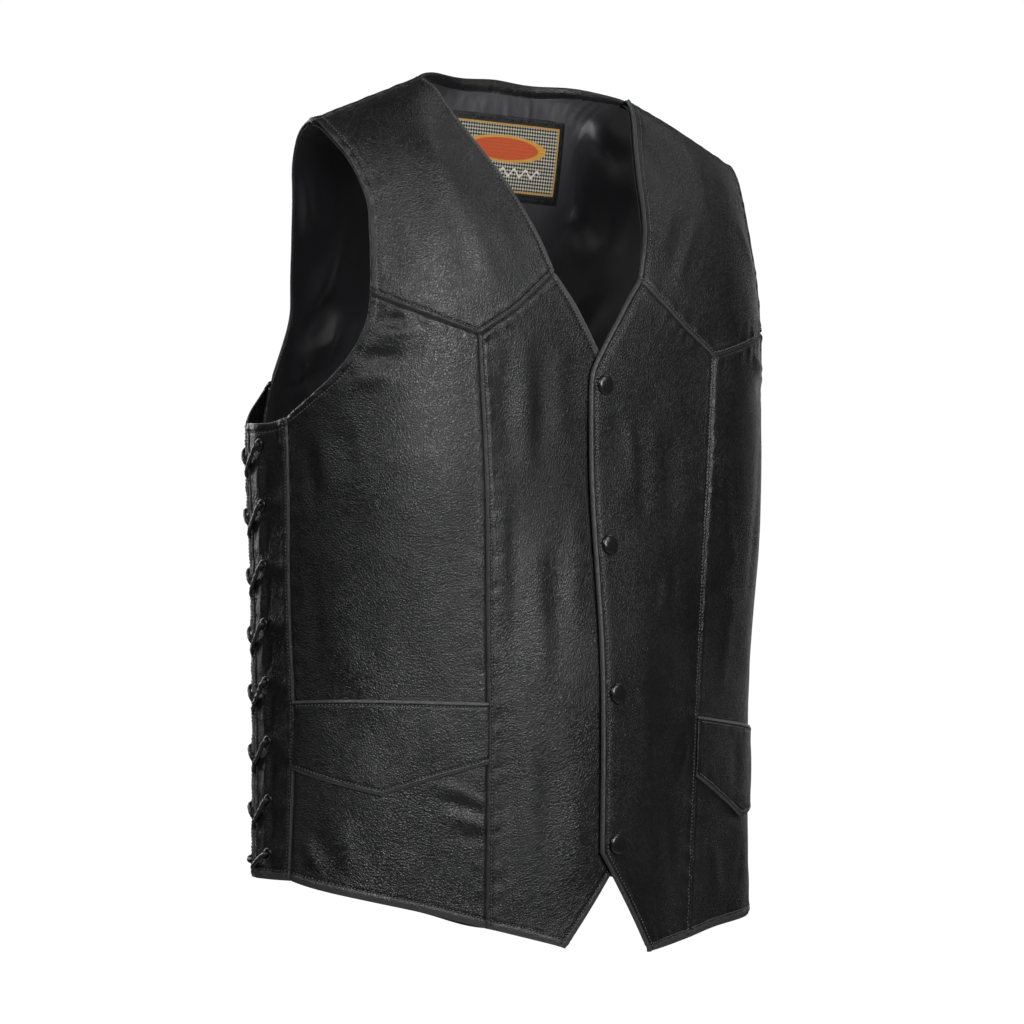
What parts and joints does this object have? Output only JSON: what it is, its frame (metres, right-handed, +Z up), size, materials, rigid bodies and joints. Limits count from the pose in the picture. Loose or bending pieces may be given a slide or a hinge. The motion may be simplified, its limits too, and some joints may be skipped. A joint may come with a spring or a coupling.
{
  "type": "leather vest",
  "caption": "Sleeveless leather vest in its worn form, with a V neck, pointed front hem, snap front, laced side openings, low V-shaped pocket bands and a satin lining.",
  "frame": {"origin": "midway between the two shoulder seams, on the level of the neck ends of the seams less 17 mm, where a wearer's shoulders carry the vest", "axes": "+Z up the worn vest, -Y out of its front, -X towards the wearer's right"},
  "size_m": [0.4458, 0.2046, 0.6414],
  "materials": {
    "leather": "black, fine grain, soft sheen",
    "satin": "black satin lining",
    "enamel": "glossy black enamel",
    "lace": "black braided leather cord",
    "weave": "woven label in black and cream"
  },
  "bodies": {
    "root": {"back_panel": "leather", "lining_back": "satin", "neck_band": "leather", "label_backing": "leather", "label_weave": "weave", "front_yoke_right": "leather", "front_center_right": "leather", "front_side_right": "leather", "pocket_band_right": "leather", "lining_front_right": "satin", "lace_band_front_right": "leather", "lace_band_back_right": "leather", "side_lace_right": "lace", "eyelet_front_right_1": "enamel", "eyelet_back_right_1": "enamel", "eyelet_front_right_2": "enamel", "eyelet_back_right_2": "enamel", "eyelet_front_right_3": "enamel", "eyelet_back_right_3": "enamel", "eyelet_front_right_4": "enamel", "eyelet_back_right_4": "enamel", "eyelet_front_right_5": "enamel", "eyelet_back_right_5": "enamel", "eyelet_front_right_6": "enamel", "eyelet_back_right_6": "enamel", "eyelet_front_right_7": "enamel", "eyelet_back_right_7": "enamel", "eyelet_front_right_8": "enamel", "eyelet_back_right_8": "enamel", "front_yoke_left": "leather", "front_center_left": "leather", "front_side_left": "leather", "pocket_band_left": "leather", "lining_front_left": "satin", "lace_band_front_left": "leather", "lace_band_back_left": "leather", "side_lace_left": "lace", "eyelet_front_left_1": "enamel", "eyelet_back_left_1": "enamel", "eyelet_front_left_2": "enamel", "eyelet_back_left_2": "enamel", "eyelet_front_left_3": "enamel", "eyelet_back_left_3": "enamel", "eyelet_front_left_4": "enamel", "eyelet_back_left_4": "enamel", "eyelet_front_left_5": "enamel", "eyelet_back_left_5": "enamel", "eyelet_front_left_6": "enamel", "eyelet_back_left_6": "enamel", "eyelet_front_left_7": "enamel", "eyelet_back_left_7": "enamel", "eyelet_front_left_8": "enamel", "eyelet_back_left_8": "enamel", "snap_cap_1": "enamel", "snap_cap_2": "enamel", "snap_cap_3": "enamel", "snap_cap_4": "enamel"}
  },
  "joints": []
}
